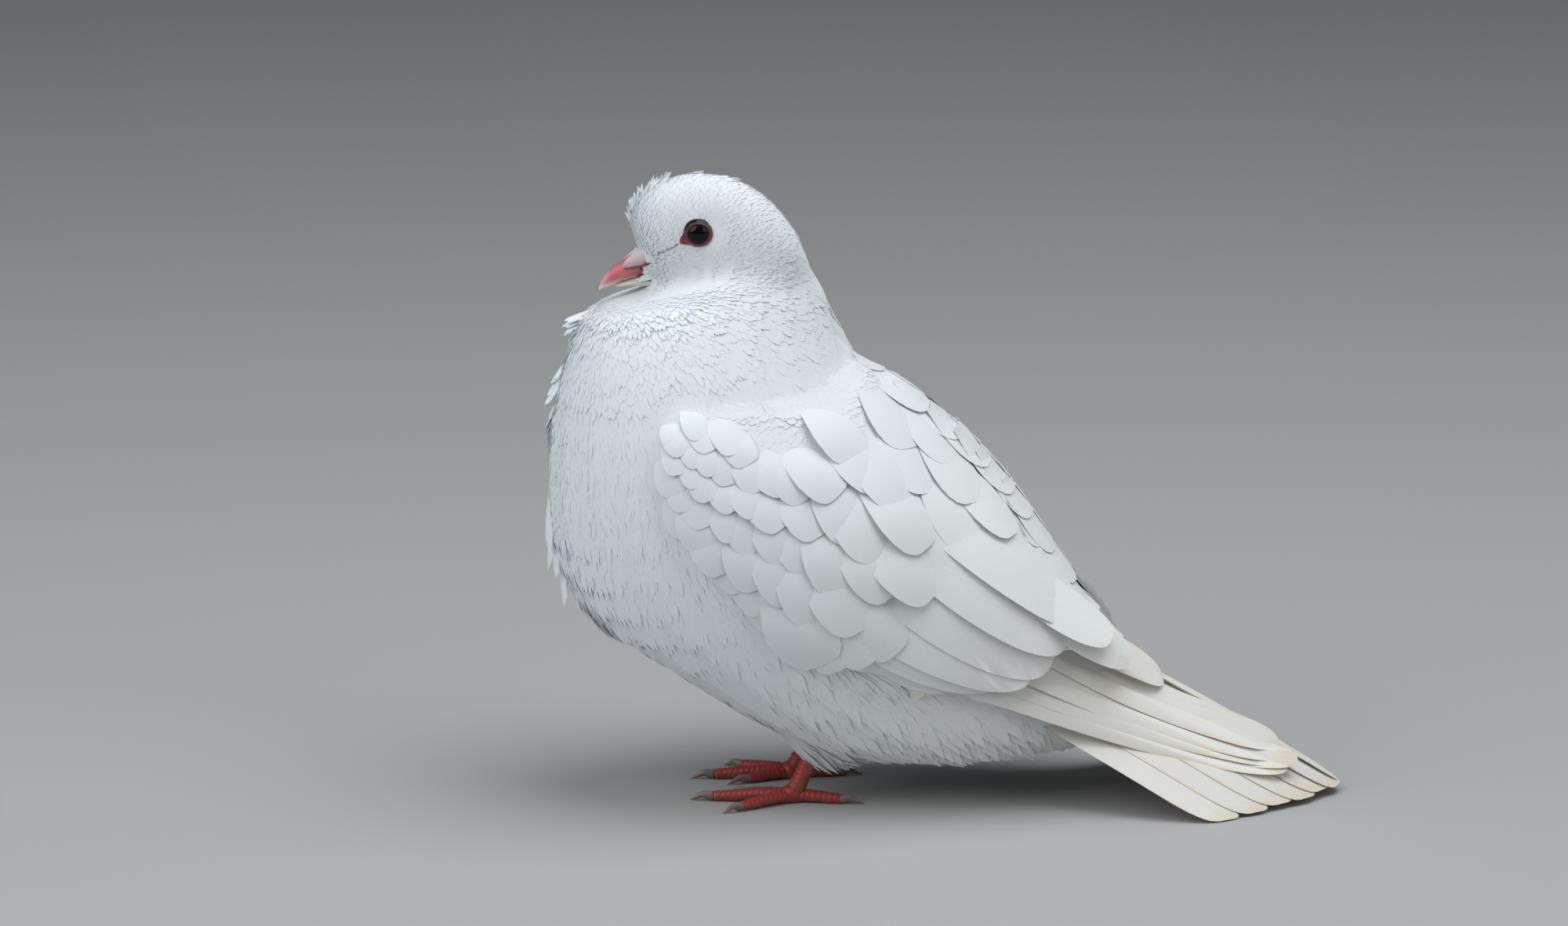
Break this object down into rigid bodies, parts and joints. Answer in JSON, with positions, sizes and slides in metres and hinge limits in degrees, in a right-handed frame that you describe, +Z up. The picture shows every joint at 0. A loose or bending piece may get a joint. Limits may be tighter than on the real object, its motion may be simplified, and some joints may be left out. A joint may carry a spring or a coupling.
{
  "type": "pigeon figure",
  "caption": "Life-size still model of a white domestic pigeon standing with its neck drawn in and its fanned tail resting on the floor.",
  "frame": {"origin": "middle of the bounding box's bottom face, on the floor under the belly", "axes": "+Z up, the bird faces -X and its tail points to +X, its left side is -Y"},
  "size_m": [0.2528, 0.11, 0.2015],
  "materials": {
    "plumage": "soft white feathers, matt, faintly bluish on the breast and cream on the neck",
    "flight_feathers": "smooth white vanes with cream edges",
    "bare_skin": "red scaly skin, satin",
    "bill": "smooth pink horn, satin",
    "cere": "powdery whitish pink, matt",
    "claw": "grey-brown horn, semi-gloss",
    "eye": "very dark, wet gloss"
  },
  "bodies": {
    "root": {"head": "plumage", "neck": "plumage", "trunk": "plumage", "leg_left": "plumage", "leg_right": "plumage", "wing_left": "plumage", "wing_right": "plumage", "primaries_left": "flight_feathers", "primaries_right": "flight_feathers", "tail": "flight_feathers", "foot_left": "bare_skin", "foot_right": "bare_skin", "bill_upper": "bill", "bill_lower": "bill", "cere": "cere", "eye_left": "eye", "claw_left_outer": "claw", "claw_left_middle": "claw", "claw_left_inner": "claw", "claw_left_hind": "claw", "eye_right": "eye", "claw_right_outer": "claw", "claw_right_middle": "claw", "claw_right_inner": "claw", "claw_right_hind": "claw"}
  },
  "joints": []
}
